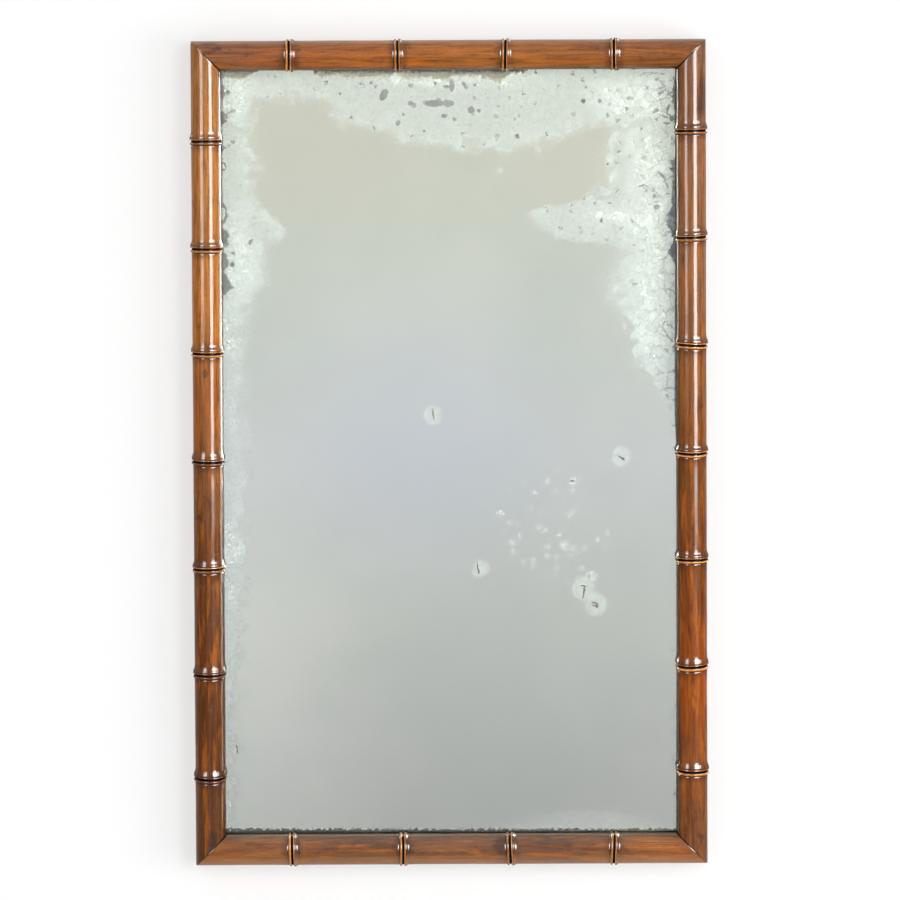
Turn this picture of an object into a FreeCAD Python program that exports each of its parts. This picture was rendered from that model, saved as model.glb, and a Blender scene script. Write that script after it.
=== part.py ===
import FreeCAD, Part
import os
import Sketcher

# Wall mirror in a carved "bamboo" frame.
#
# World frame: +Z up, the mirror faces -Y, and the origin is the centre of the flat back.
# Every piece is drawn in a front view or a back view of its own and then placed:
# in a front view X runs to the right, Y up and Z to the front of the mirror,
# in a back view X runs to the left, Y up and Z away from the mirror's back.
# A frame bar is drawn lying along its own X axis, from its outer corner, with Y towards the
# middle of the mirror. Its Z is zero where the half-round front meets the straight sides.

DIMENSIONS = (
    ("frame_width", 512.5, "over the plain canes, left to right"),
    ("frame_height", 824.3, "over the plain canes, bottom to top"),
    ("cane_width", 29.5, "face width of a bar, and the diameter of its half-round front"),
    ("lip_depth", 10.5, "straight inner side of a bar, from the half round to the glass"),
    ("glass_thickness", 3.0, "mirror plate"),
    ("silvering_thickness", 0.2, "metal coat on the back of the plate"),
    ("packing_thickness", 2.5, "wood blocks between the plate and the backboards"),
    ("board_thickness", 5.0, "backboards"),
    ("glass_rebate_width", 7.0, "step that holds the plate"),
    ("board_rebate_width", 14.0, "wider step that holds the backboards"),
    ("groove_width", 2.5, "dark groove between the two ridges of a cane node"),
    ("groove_rise", 0.1, "floor of that groove above the plain cane"),
    ("ridge_width", 2.0, "each ridge beside the groove"),
    ("flare_rise", 0.9, "swelling of the cane beside a ridge"),
    ("flare_length", 11.0, "length of that swelling"),
    ("flare_bury", 0.3, "depth at which the swelling starts inside the cane"),
    ("stile_node_count", 7, "nodes along an upright bar"),
    ("rail_node_count", 4, "nodes along a level bar"),
    ("bottom_first_node", 96.7, "bottom rail: left corner to the first node"),
    ("bottom_last_node", 93.8, "bottom rail: last node to the right corner"),
    ("right_first_node", 94.2, "right stile: bottom corner to the first node"),
    ("right_last_node", 91.1, "right stile: last node to the top corner"),
    ("top_first_node", 91.5, "top rail: right corner to the first node"),
    ("top_last_node", 98.0, "top rail: last node to the left corner"),
    ("left_first_node", 99.5, "left stile: top corner to the first node"),
    ("left_last_node", 88.8, "left stile: last node to the bottom corner"),
    ("glass_edge_gap", 1.0, "plate to the rebate at the top and the sides"),
    ("board_edge_gap", 0.5, "backboards to their rebate"),
    ("board_gap", 0.8, "shrinkage gap between two backboards"),
    ("board_count", 5, "backboards"),
    ("key_leg", 26.0, "mitre key along each of its two outer edges"),
    ("key_thickness", 2.0, "mitre key"),
    ("key_depth", 4.0, "front of a mitre key behind the half round"),
    ("block_length", 32.0, "packing block along its bar"),
    ("block_width", 6.5, "packing block across its bar"),
    ("block_end_space", 70.0, "frame corner to the first packing block"),
    ("stile_block_count", 4, "packing blocks on an upright bar"),
    ("rail_block_count", 3, "packing blocks on a level bar"),
    ("nail_radius", 0.7, "shank of a backboard nail"),
    ("nail_length", 13.0, "nail below its head"),
    ("nail_tip_length", 2.0, "tapered tip of a nail"),
    ("nail_tip_radius", 0.2, "blunt end of a nail"),
    ("nail_head_radius", 1.7, "head of a nail"),
    ("nail_head_thickness", 0.5, "head of a nail"),
    ("nail_head_sink", 0.1, "head below the face of the board"),
    ("nail_hole_gap", 0.05, "nail shank to its hole"),
    ("nail_head_gap", 0.2, "nail head to its recess"),
    ("hanger_drop", 190.0, "top of the frame to the axis of a hanging ring"),
    ("ring_wire_radius", 1.25, "wire of a hanging ring"),
    ("ring_corner_radius", 2.0, "bend between the ring's straight bar and its leg"),
    ("ring_leg_length", 2.5, "straight leg of a ring"),
    ("ring_end_play", 0.5, "ring bend to the end of the barrel"),
    ("ring_bore_gap", 0.05, "wire to the barrel's bore"),
    ("ring_strap_gap", 0.3, "hanging ring to the strap under it"),
    ("strap_width", 8.0, "hanger strap and its rolled barrel"),
    ("strap_place_share", 0.55, "strap's centre line, as a share of the stile's back face"),
    ("strap_length", 38.0, "ring axis to the round end of the strap"),
    ("strap_thickness", 1.2, "sheet of the strap and of its barrel"),
    ("strap_hole_gap", 0.2, "screw shank to the hole in the strap"),
    ("screw_radius", 1.25, "shank of a hanger screw"),
    ("screw_length", 13.0, "screw below its head"),
    ("screw_tip_length", 3.0, "tapered tip of a screw"),
    ("screw_tip_radius", 0.3, "blunt end of a screw"),
    ("screw_head_radius", 2.6, "round head of a screw"),
    ("screw_head_height", 1.4, "round head of a screw"),
    ("screw_hole_gap", 0.05, "screw shank to its hole in the wood"),
    ("screw_slot_width", 0.7, "driver slot"),
    ("screw_slot_depth", 0.7, "driver slot"),
    ("screw_first_drop", 18.5, "ring axis to the first screw"),
    ("screw_spacing", 13.0, "first screw to the second"),
    ("overrun", 5.0, "how far a cutting shape passes the surface that it cuts"),
)

# Each end of a board has two nails, a quarter of the boards' pitch above and below its middle.
NAILS_PER_BOARD = 2

document = FreeCAD.newDocument("bamboo_mirror")


class Size:
    """A length made of cells of the sheet: its expression and its present value."""

    def __init__(self, text, value):
        self.text = text
        self.value = value

    def __add__(self, other):
        other = as_size(other)
        return Size("(%s + %s)" % (self.text, other.text), self.value + other.value)

    def __sub__(self, other):
        other = as_size(other)
        return Size("(%s - %s)" % (self.text, other.text), self.value - other.value)

    def __mul__(self, other):
        other = as_size(other)
        return Size("(%s * %s)" % (self.text, other.text), self.value * other.value)

    def __truediv__(self, other):
        other = as_size(other)
        return Size("(%s / %s)" % (self.text, other.text), self.value / other.value)

    def __neg__(self):
        return as_size(0) - self


def as_size(value):
    """A plain number, such as a count or a factor, as a size."""
    if isinstance(value, Size):
        return value
    return Size(str(value), value)


class Sheet:
    """The spreadsheet, with each of its cells as an attribute."""

    def __init__(self, dimensions):
        cells = document.addObject("Spreadsheet::Sheet", "Sizes")
        for row, (name, value, meaning) in enumerate(dimensions, start=1):
            cells.set("A%d" % row, meaning)
            cells.set("B%d" % row, str(value))
            cells.setAlias("B%d" % row, name)
            setattr(self, name, Size("Sizes." + name, value))


size = Sheet(DIMENSIONS)
document.recompute()

# Sizes that follow from the sheet
half_width = size.frame_width / 2
half_height = size.frame_height / 2
cane_radius = size.cane_width / 2
side_depth = (size.lip_depth + size.glass_thickness + size.silvering_thickness
              + size.packing_thickness + size.board_thickness)
glass_front = side_depth - size.lip_depth
silvering_front = glass_front - size.glass_thickness
packing_front = silvering_front - size.silvering_thickness
board_front = size.board_thickness
glass_rebate_edge = size.cane_width - size.glass_rebate_width
board_rebate_edge = size.cane_width - size.board_rebate_width
board_space = size.frame_height - board_rebate_edge * 2 - size.board_edge_gap * 2
board_pitch = (board_space + size.board_gap) / size.board_count
board_height = board_pitch - size.board_gap
nail_spacing = board_pitch / NAILS_PER_BOARD
nail_inset = (glass_rebate_edge + board_rebate_edge) / 2
first_nail = board_rebate_edge + size.board_edge_gap + board_height / 2 - nail_spacing / 2
nail_top = size.nail_head_sink + size.nail_head_thickness
strap_inset = board_rebate_edge * size.strap_place_share
ring_axis_height = size.strap_thickness + size.ring_strap_gap + size.ring_wire_radius


def bind(feature, name, length):
    """Ties one property of a feature to the sheet."""
    feature.setExpression(name, as_size(length).text)


def pin(sketch, geometry, point, direction, length):
    """Holds one coordinate of a sketch point, measured from the sketch's origin."""
    length = as_size(length)
    axis = {"DistanceX": -2, "DistanceY": -1}[direction]
    if length.text == "0":
        sketch.addConstraint(Sketcher.Constraint("PointOnObject", geometry, point, axis))
        return
    index = sketch.addConstraint(
        Sketcher.Constraint(direction, -1, 1, geometry, point, length.value))
    bind(sketch, "Constraints[%d]" % index, length)


def vector(right, up):
    return FreeCAD.Vector(as_size(right).value, as_size(up).value, 0)


class Corner:
    """A corner of an outline, and the centre of the arc that starts there, if one does."""

    def __init__(self, right, up, centre=None):
        self.right = right
        self.up = up
        self.centre = centre
        self.place = vector(right, up)


def add_arc(sketch, start, end):
    """A clockwise arc from one corner to the next, with its centre held."""
    centre = vector(*start.centre)
    circle = Part.Circle(centre, FreeCAD.Vector(0, 0, 1), (start.place - centre).Length)
    arc = Part.ArcOfCircle(circle, circle.parameter(end.place), circle.parameter(start.place))
    index = sketch.addGeometry(arc)
    pin(sketch, index, 3, "DistanceX", start.centre[0])
    pin(sketch, index, 3, "DistanceY", start.centre[1])
    return index


def ends_level(start, end):
    """True where an arc ends beside its centre, so that its height there is what fixes it."""
    across = end.place - vector(*start.centre)
    return abs(across.y) < abs(across.x)


def outline(sketch, corners):
    """A closed outline, clockwise, with every corner held from the sheet."""
    edges = []
    for start, end in zip(corners, corners[1:] + corners[:1]):
        if start.centre:
            edges.append((add_arc(sketch, start, end), 2, 1))
        else:
            line = Part.LineSegment(start.place, end.place)
            edges.append((sketch.addGeometry(line), 1, 2))
    for number, corner in enumerate(corners):
        index, first, last = edges[number]
        before, unused, before_last = edges[number - 1]
        sketch.addConstraint(Sketcher.Constraint("Coincident", before, before_last, index, first))
        arrives = corners[number - 1]
        level = ends_level(arrives, corner) if arrives.centre else True
        if not arrives.centre or not level:
            pin(sketch, index, first, "DistanceX", corner.right)
        if level:
            pin(sketch, index, first, "DistanceY", corner.up)


def rectangle(sketch, left, bottom, right, top):
    outline(sketch, [Corner(left, bottom), Corner(left, top),
                     Corner(right, top), Corner(right, bottom)])


def circle(sketch, right, up, radius):
    shape = Part.Circle(vector(right, up), FreeCAD.Vector(0, 0, 1), radius.value)
    index = sketch.addGeometry(shape)
    pin(sketch, index, 3, "DistanceX", right)
    pin(sketch, index, 3, "DistanceY", up)
    radius_index = sketch.addConstraint(Sketcher.Constraint("Radius", index, radius.value))
    bind(sketch, "Constraints[%d]" % radius_index, radius)


class Piece:
    """One sub-part: a body, the sketches in it and the features made from them."""

    def __init__(self, label):
        self.label = label
        self.body = document.addObject("PartDesign::Body", label)
        self.body.Label = label
        self.body.AllowCompound = True

    def sketch(self, name, role="XY_Plane", right=0, up=0, out=0):
        """A sketch on one of the body's own planes, shifted along its own axes."""
        sketch = self.body.newObject("Sketcher::SketchObject", self.label + "_" + name)
        planes = {feature.Role: feature for feature in self.body.Origin.OriginFeatures}
        sketch.AttachmentSupport = (planes[role], "")
        sketch.MapMode = "FlatFace"
        bind(sketch, "AttachmentOffset.Base.x", right)
        bind(sketch, "AttachmentOffset.Base.y", up)
        bind(sketch, "AttachmentOffset.Base.z", out)
        return sketch

    def feature(self, kind, name, sketch):
        feature = self.body.newObject("PartDesign::" + kind, self.label + "_" + name)
        feature.Profile = sketch
        sketch.Visibility = False
        return feature

    def pad(self, name, sketch, length, reverse=False, midplane=False):
        pad = self.feature("Pad", name, sketch)
        bind(pad, "Length", length)
        pad.Reversed = reverse
        pad.Midplane = midplane
        return pad

    def pocket(self, name, sketch, length, reverse=False, midplane=False):
        """A pocket cuts against its sketch's normal, or along it when reversed."""
        pocket = self.feature("Pocket", name, sketch)
        bind(pocket, "Length", length)
        pocket.Reversed = reverse
        pocket.Midplane = midplane
        return pocket

    def revolve(self, name, sketch, axis, degrees=360):
        """Turns a sketch about one of its own axes, a part turn towards the front."""
        turn = self.feature("Revolution", name, sketch)
        turn.ReferenceAxis = (sketch, [axis])
        turn.Angle = degrees
        return turn

    def repeat(self, name, features, sketch, axis, length, count):
        """Copies features along a sketch's axis, evenly over a length."""
        pattern = self.body.newObject("PartDesign::LinearPattern", self.label + "_" + name)
        pattern.Originals = features
        pattern.Direction = (sketch, [axis])
        bind(pattern, "Length", length)
        bind(pattern, "Occurrences", count)
        self.body.Tip = pattern
        return pattern

    def place(self, right, up, front, turns=0, from_behind=False):
        """Puts a front view or a back view into the world, turned by quarter turns."""
        side = FreeCAD.Rotation(FreeCAD.Vector(1, 0, 0), 90)
        if from_behind:
            side = FreeCAD.Rotation(FreeCAD.Vector(0, 0, 1), 180).multiply(side)
        turned = side.multiply(FreeCAD.Rotation(FreeCAD.Vector(0, 0, 1), 90 * turns))
        self.body.Placement = FreeCAD.Placement(FreeCAD.Vector(0, 0, 0), turned)
        bind(self.body, "Placement.Base.x", right)
        bind(self.body, "Placement.Base.y", -as_size(front))
        bind(self.body, "Placement.Base.z", up)


class Side:
    """One side of the frame: the corner where its bar starts, its length and its nodes."""

    def __init__(self, name, label, right, up, turns, length, nodes, first, last, blocks):
        self.name = name
        self.label = label
        self.right = right
        self.up = up
        self.turns = turns
        self.length = length
        self.nodes = nodes
        self.first = first
        self.last = last
        self.blocks = blocks


def frame_sides():
    """The four sides, anticlockwise from the bottom, each bar starting where the last ended."""
    width = size.frame_width
    height = size.frame_height
    rails = size.rail_node_count
    stiles = size.stile_node_count
    rail_blocks = size.rail_block_count
    stile_blocks = size.stile_block_count
    return (
        Side("bottom", "rail_bottom", -half_width, -half_height, 0, width, rails,
             size.bottom_first_node, size.bottom_last_node, rail_blocks),
        Side("right", "stile_right", half_width, -half_height, 1, height, stiles,
             size.right_first_node, size.right_last_node, stile_blocks),
        Side("top", "rail_top", half_width, half_height, 2, width, rails,
             size.top_first_node, size.top_last_node, rail_blocks),
        Side("left", "stile_left", -half_width, half_height, 3, height, stiles,
             size.left_first_node, size.left_last_node, stile_blocks),
    )


def cane(piece, side):
    """Plain bar: a half-round front on straight sides."""
    section = piece.sketch("section", "YZ_Plane")
    outline(section, [
        Corner(0, -side_depth),
        Corner(0, 0, (cane_radius, 0)),
        Corner(size.cane_width, 0),
        Corner(size.cane_width, -side_depth),
    ])
    piece.pad("cane", section, side.length)


def collar_edge(sign):
    """Outline of a node along one edge of the bar, from left to right when sign is 1."""
    groove_edge = size.groove_width / 2
    ridge_edge = groove_edge + size.ridge_width
    ridge_centre = groove_edge + size.ridge_width / 2
    flare_end = ridge_edge + size.flare_length
    start = cane_radius - size.flare_bury
    swollen = cane_radius + size.flare_rise
    floor = cane_radius + size.groove_rise
    one = as_size(sign)
    return [
        Corner(-one * flare_end, one * start),
        Corner(-one * ridge_edge, one * swollen, (-one * ridge_centre, one * swollen)),
        Corner(-one * groove_edge, one * swollen),
        Corner(-one * groove_edge, one * floor),
        Corner(one * groove_edge, one * floor),
        Corner(one * groove_edge, one * swollen, (one * ridge_centre, one * swollen)),
        Corner(one * ridge_edge, one * swollen),
        Corner(one * flare_end, one * start),
    ]


def collars(piece, side):
    """The nodes: two ridges and a groove round the front, carried back along both sides."""
    groove_edge = size.groove_width / 2
    flare_end = groove_edge + size.ridge_width + size.flare_length
    half = piece.sketch("collar_half", right=side.first, up=cane_radius)
    outline(half, [Corner(-flare_end, 0)] + collar_edge(1) + [Corner(flare_end, 0)])
    front = piece.revolve("collar_front", half, "H_Axis", 180)
    whole = piece.sketch("collar_whole", right=side.first, up=cane_radius)
    outline(whole, collar_edge(1) + collar_edge(-1))
    flanks = piece.pad("collar_flanks", whole, side_depth, reverse=True)
    span = side.length - side.first - side.last
    piece.repeat("collars", [front, flanks], half, "H_Axis", span, side.nodes)


def mitres(piece, side):
    """Both ends cut at 45 degrees, towards the middle of the mirror."""
    past = size.overrun
    reach = size.cane_width + past
    depth = (side_depth + size.cane_width) * 2
    start = piece.sketch("mitre_start")
    outline(start, [Corner(-past, -past), Corner(-past, reach), Corner(reach, reach)])
    piece.pocket("mitre_at_start", start, depth, midplane=True)
    end = piece.sketch("mitre_end")
    far = side.length + past
    outline(end, [Corner(far, -past), Corner(side.length - reach, reach), Corner(far, reach)])
    piece.pocket("mitre_at_end", end, depth, midplane=True)


def rebates(piece, side):
    """Double step along the back: a narrow one for the plate, a wide one for the boards."""
    past = size.overrun
    inner = size.cane_width + past
    plate = piece.sketch("glass_step", out=-side_depth)
    rectangle(plate, -past, glass_rebate_edge, side.length + past, inner)
    piece.pocket("glass_rebate", plate, glass_front, reverse=True)
    boards = piece.sketch("board_step", out=-side_depth)
    rectangle(boards, -past, board_rebate_edge, side.length + past, inner)
    piece.pocket("board_rebate", boards, board_front, reverse=True)


def kerfs(piece, side):
    """Slots across both outer corners for the mitre keys."""
    past = size.overrun
    leg = size.key_leg
    start = piece.sketch("kerf_start", out=-size.key_depth)
    outline(start, [Corner(-past, -past), Corner(-past, leg + past), Corner(leg + past, -past)])
    piece.pocket("kerf_at_start", start, size.key_thickness)
    end = piece.sketch("kerf_end", out=-size.key_depth)
    far = side.length + past
    outline(end, [Corner(far, -past), Corner(far - past * 2 - leg, -past), Corner(far, leg + past)])
    piece.pocket("kerf_at_end", end, size.key_thickness)


def nail_holes(piece):
    """A row of holes for the backboard nails, in the floor of the board step."""
    row = piece.sketch("nail_row", out=board_front - side_depth)
    circle(row, first_nail, nail_inset, size.nail_radius + size.nail_hole_gap)
    depth = size.nail_length + nail_top - size.board_thickness + size.nail_hole_gap
    hole = piece.pocket("nail_hole", row, depth, reverse=True)
    count = size.board_count * NAILS_PER_BOARD
    piece.repeat("nail_holes", [hole], row, "H_Axis", nail_spacing * (count - 1), count)


def hanger_holes(piece, side):
    """Two holes in the back of a stile for the screws of its hanger."""
    first = size.hanger_drop + size.screw_first_drop
    second = first + size.screw_spacing
    if side.name == "right":
        first = side.length - first
        second = side.length - second
    holes = piece.sketch("hanger_holes", out=-side_depth)
    for along in (first, second):
        circle(holes, along, strap_inset, size.screw_radius + size.screw_hole_gap)
    depth = size.screw_length - size.strap_thickness + size.screw_hole_gap
    piece.pocket("hanger_screw_holes", holes, depth, reverse=True)


def frame_bar(side):
    piece = Piece(side.label)
    cane(piece, side)
    collars(piece, side)
    mitres(piece, side)
    rebates(piece, side)
    kerfs(piece, side)
    if side.name in ("left", "right"):
        nail_holes(piece)
        hanger_holes(piece, side)
    piece.place(side.right, side.up, side_depth, side.turns)
    return piece


def mitre_key(side, label):
    """Triangular plate glued into the slot across the corner where a bar starts."""
    piece = Piece(label)
    leg = size.key_leg
    shape = piece.sketch("shape", out=-size.key_depth)
    outline(shape, [Corner(0, 0), Corner(0, leg), Corner(leg, 0)])
    piece.pad("key", shape, size.key_thickness, reverse=True)
    piece.place(side.right, side.up, side_depth, side.turns)
    return piece


def plate(label, thickness, front):
    """A plate in the glass step: it stands on the bottom rail with a gap round the rest."""
    piece = Piece(label)
    side = half_width - glass_rebate_edge - size.glass_edge_gap
    bottom = half_height - glass_rebate_edge
    shape = piece.sketch("shape")
    rectangle(shape, -side, -bottom, side, bottom - size.glass_edge_gap)
    piece.pad("sheet", shape, thickness, reverse=True)
    piece.place(0, 0, front)
    return piece


def packing_blocks(side):
    """Small wood blocks that fill the step between the plate and the boards."""
    piece = Piece("packing_blocks_" + side.name)
    thickness = size.packing_thickness
    shape = piece.sketch("shape")
    start = size.block_end_space
    rectangle(shape, start, glass_rebate_edge,
              start + size.block_length, glass_rebate_edge + size.block_width)
    block = piece.pad("block", shape, thickness, reverse=True)
    span = side.length - start * 2 - size.block_length
    piece.repeat("blocks", [block], shape, "H_Axis", span, side.blocks)
    piece.place(side.right, side.up, packing_front, side.turns)
    return piece


def backboard(number):
    """One level board, with a hole and a sunk recess for each of its four nails."""
    piece = Piece("backboard_%d" % (number + 1))
    side = half_width - board_rebate_edge - size.board_edge_gap
    half = board_height / 2
    shape = piece.sketch("shape")
    rectangle(shape, -side, -half, side, half)
    piece.pad("board", shape, size.board_thickness)
    holes = piece.sketch("holes")
    recesses = piece.sketch("recesses")
    across = half_width - nail_inset
    for right in (-across, across):
        for up in (-nail_spacing / 2, nail_spacing / 2):
            circle(holes, right, up, size.nail_radius + size.nail_hole_gap)
            circle(recesses, right, up, size.nail_head_radius + size.nail_head_gap)
    piece.pocket("nail_holes", holes, size.board_thickness, reverse=True)
    piece.pocket("head_recesses", recesses, nail_top, reverse=True)
    above = board_pitch * number - board_space / 2 + half
    piece.place(0, above, 0)
    return piece


def nails(label, right):
    """The row of nails along one side of the backboards."""
    piece = Piece(label)
    shape = piece.sketch("shape", "XZ_Plane")
    top = -size.nail_head_sink
    under = -nail_top
    tip = under - size.nail_length
    outline(shape, [
        Corner(0, tip),
        Corner(0, top),
        Corner(size.nail_head_radius, top),
        Corner(size.nail_head_radius, under),
        Corner(size.nail_radius, under),
        Corner(size.nail_radius, tip + size.nail_tip_length),
        Corner(size.nail_tip_radius, tip),
    ])
    nail = piece.revolve("nail", shape, "V_Axis")
    level = piece.sketch("level")
    count = size.board_count * NAILS_PER_BOARD
    span = nail_spacing * (count - 1)
    piece.repeat("nails", [nail], level, "V_Axis", span, count)
    piece.place(right, first_nail - half_height, 0, from_behind=True)
    return piece


def hanger_strap(label, right):
    """Strap screwed to a stile, with a barrel rolled at its upper end."""
    piece = Piece(label)
    half = size.strap_width / 2
    low = half - size.strap_length
    bore = size.ring_wire_radius + size.ring_bore_gap
    shape = piece.sketch("shape")
    outline(shape, [
        Corner(-half, low),
        Corner(-half, 0),
        Corner(half, 0),
        Corner(half, low, (0, low)),
    ])
    piece.pad("sheet", shape, size.strap_thickness)
    roll = piece.sketch("roll", "YZ_Plane")
    circle(roll, 0, ring_axis_height, bore + size.strap_thickness)
    circle(roll, 0, ring_axis_height, bore)
    piece.pad("barrel", roll, size.strap_width, midplane=True)
    holes = piece.sketch("holes")
    for drop in (size.screw_first_drop, size.screw_first_drop + size.screw_spacing):
        circle(holes, 0, -drop, size.screw_radius + size.strap_hole_gap)
    piece.pocket("screw_holes", holes, size.strap_thickness, reverse=True)
    piece.place(right, half_height - size.hanger_drop, 0, from_behind=True)
    return piece


def ring_path(piece):
    """Centre line of a ring: a straight bar with a rounded loop hanging from it."""
    bar = size.strap_width / 2 + size.ring_end_play
    bend = size.ring_corner_radius
    loop = bar + bend
    low = -bend - size.ring_leg_length
    path = piece.sketch("path")
    outline(path, [
        Corner(0, 0),
        Corner(bar, 0, (bar, -bend)),
        Corner(loop, -bend),
        Corner(loop, low, (0, low)),
        Corner(-loop, low),
        Corner(-loop, -bend, (-bar, -bend)),
        Corner(-bar, 0),
    ])
    return path


def hanger_ring(label, right):
    """Wire ring that turns in the barrel of its strap."""
    piece = Piece(label)
    path = ring_path(piece)
    wire = piece.sketch("wire", "YZ_Plane")
    circle(wire, 0, 0, size.ring_wire_radius)
    ring = piece.feature("AdditivePipe", "ring", wire)
    ring.Spine = path
    path.Visibility = False
    piece.place(right, half_height - size.hanger_drop, -ring_axis_height, from_behind=True)
    return piece


def hanger_screws(label, right):
    """The two slotted screws of a strap."""
    piece = Piece(label)
    radius = size.screw_head_radius
    rise = size.screw_head_height
    dome = (radius * radius + rise * rise) / (rise * 2)
    shape = piece.sketch("shape", "XZ_Plane")
    tip = -size.screw_length
    outline(shape, [
        Corner(0, tip),
        Corner(0, rise, (0, rise - dome)),
        Corner(radius, 0),
        Corner(size.screw_radius, 0),
        Corner(size.screw_radius, tip + size.screw_tip_length),
        Corner(size.screw_tip_radius, tip),
    ])
    screw = piece.revolve("screw", shape, "V_Axis")
    slot = piece.sketch("slot", out=rise - size.screw_slot_depth)
    rectangle(slot, -radius, -size.screw_slot_width / 2, radius, size.screw_slot_width / 2)
    cut = piece.pocket("driver_slot", slot, size.screw_slot_depth, reverse=True)
    pattern = piece.repeat("screws", [screw, cut], slot, "V_Axis", size.screw_spacing, as_size(2))
    pattern.Reversed = True
    piece.place(right, half_height - size.hanger_drop - size.screw_first_drop,
                -size.strap_thickness, from_behind=True)
    return piece


def build():
    """Every piece of the mirror, in the order in which it goes together."""
    sides = frame_sides()
    corners = ("bottom_left", "bottom_right", "top_right", "top_left")
    pieces = [frame_bar(side) for side in sides]
    pieces += [mitre_key(side, "mitre_key_" + corner) for side, corner in zip(sides, corners)]
    pieces.append(plate("mirror_glass", size.glass_thickness, glass_front))
    pieces.append(plate("silvering", size.silvering_thickness, silvering_front))
    pieces += [packing_blocks(side) for side in sides]
    pieces += [backboard(number) for number in range(int(size.board_count.value))]
    for name, sign in (("left", -1), ("right", 1)):
        pieces.append(nails("backboard_nails_" + name, (half_width - nail_inset) * sign))
        right = (half_width - strap_inset) * sign
        pieces.append(hanger_strap("hanger_strap_" + name, right))
        pieces.append(hanger_ring("hanger_ring_" + name, right))
        pieces.append(hanger_screws("hanger_screws_" + name, right))
    return pieces


def check(pieces):
    """Stops the script where anything in the document failed to build."""
    for item in document.Objects:
        if "Invalid" in item.State or "Error" in item.State:
            raise RuntimeError("%s did not build: %s" % (item.Name, item.State))
    for piece in pieces:
        shape = piece.body.Shape
        if shape.isNull() or not shape.isValid() or not shape.Solids:
            raise RuntimeError("%s has no sound solid" % piece.label)


def write(pieces):
    os.makedirs("parts", exist_ok=True)
    for piece in pieces:
        piece.body.Shape.exportStep("parts/%s.step" % piece.label)


pieces = build()
document.recompute()
check(pieces)
write(pieces)
for piece in pieces:
    shape = piece.body.Shape
    print("%-28s %3d solids %12.1f mm3" % (piece.label, len(shape.Solids), shape.Volume))
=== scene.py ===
import functools
import math
import random

import bmesh
import bpy
from mathutils import Matrix, Vector


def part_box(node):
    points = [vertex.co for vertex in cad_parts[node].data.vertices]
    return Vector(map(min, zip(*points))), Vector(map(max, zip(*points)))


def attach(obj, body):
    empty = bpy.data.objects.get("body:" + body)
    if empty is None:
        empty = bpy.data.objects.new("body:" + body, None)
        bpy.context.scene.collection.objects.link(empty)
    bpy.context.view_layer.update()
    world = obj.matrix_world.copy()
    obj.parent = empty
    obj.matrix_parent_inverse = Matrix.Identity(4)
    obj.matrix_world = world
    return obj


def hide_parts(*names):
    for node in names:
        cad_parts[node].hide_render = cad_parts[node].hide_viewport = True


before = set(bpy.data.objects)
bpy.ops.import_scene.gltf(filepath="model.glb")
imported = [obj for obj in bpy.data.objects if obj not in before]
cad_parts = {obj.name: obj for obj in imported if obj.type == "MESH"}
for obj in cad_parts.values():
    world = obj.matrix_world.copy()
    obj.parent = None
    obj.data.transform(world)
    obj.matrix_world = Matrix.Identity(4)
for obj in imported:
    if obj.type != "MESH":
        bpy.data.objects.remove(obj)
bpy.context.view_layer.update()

# Lengths are in millimetres until a mesh is made. X runs to the right, Z up, and the mirror faces -Y.
MM = 0.001

# Frame, as in the CAD
FRAME_WIDTH = 512.5
FRAME_HEIGHT = 824.3
HALF_WIDTH = FRAME_WIDTH / 2
HALF_HEIGHT = FRAME_HEIGHT / 2
CANE_WIDTH = 29.5
CANE_RADIUS = CANE_WIDTH / 2
SIDE_DEPTH = 21.2
LIP_DEPTH = 10.5
GLASS_REBATE_EDGE = 22.5
BOARD_REBATE_EDGE = 15.5
BOARD_DEPTH = 5.0
KEY_LEG = 26.0
KEY_FRONT = 4.0
KEY_BACK = 6.0
GLASS_BACK = -7.7

# Nodes of the cane: a swollen bead and its thin rim, a groove, and a plain ridge
GROOVE_HALF = 1.3
GROOVE_FLOOR = 0.05
NODE_TOP = 1.8
RIDGE_TOP = 1.5
NODE_REACH = 16.0
RING_DROOP = 2.0
RAIL_BEAD = 0.62

# Distance from the groove's edge, in millimetres, and height as a share of the top
BEAD = (
    (0, 0.62), (0.1, 0.86), (0.35, 1), (0.75, 0.96), (1.05, 0.84), (1.45, 0.94), (2, 0.96), (2.6, 0.92),
    (3.2, 0.82), (3.8, 0.68), (4.4, 0.53), (5, 0.39), (5.6, 0.27), (6.2, 0.17), (7, 0.08), (8, 0.025),
    (9.2, 0),
)
RIDGE = (
    (0, 0.6), (0.12, 0.84), (0.4, 0.98), (0.9, 1), (1.4, 0.9), (1.8, 0.66), (2.15, 0.25), (2.45, -0.08),
    (2.8, -0.12), (3.2, 0.1), (4.2, 0.13), (5.6, 0.08), (7.5, 0.03),
)

# Rings of points: how far from a mitre the first ones lie, how they turn out of it, and their step
MITRE_GAPS = (0.0, 0.25, 0.6, 1.1, 2.0)
MITRE_SHARES = (0.12, 0.27, 0.42, 0.57, (KEY_LEG - 2.0) / (CANE_WIDTH + 4.0), 0.86, 1.0)
MITRE_REACH = CANE_WIDTH + 6.0
MITRE_EASE = 0.32
FILL_STEP = 4.0
ARC_STEPS = 36

# How the slow unevenness of the carving fades in beyond a mitre, and its height
UNEVEN_FROM = 5
UNEVEN_TO = 45
UNEVEN_HEIGHT = 0.055

# The photograph: one of its pixels is one millimetre at the frame, which leans a little
PHOTO_CENTRE_X = 449.7
PHOTO_CENTRE_Y = 452.4
PHOTO_LEAN = math.radians(0.27)


def linear(red, green, blue):
    """A colour, 0 to 255, as the shader wants it."""
    return tuple(((c / 255 + 0.055) / 1.055) ** 2.4 if c > 10 else c / 3294.6
                 for c in (red, green, blue))


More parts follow.
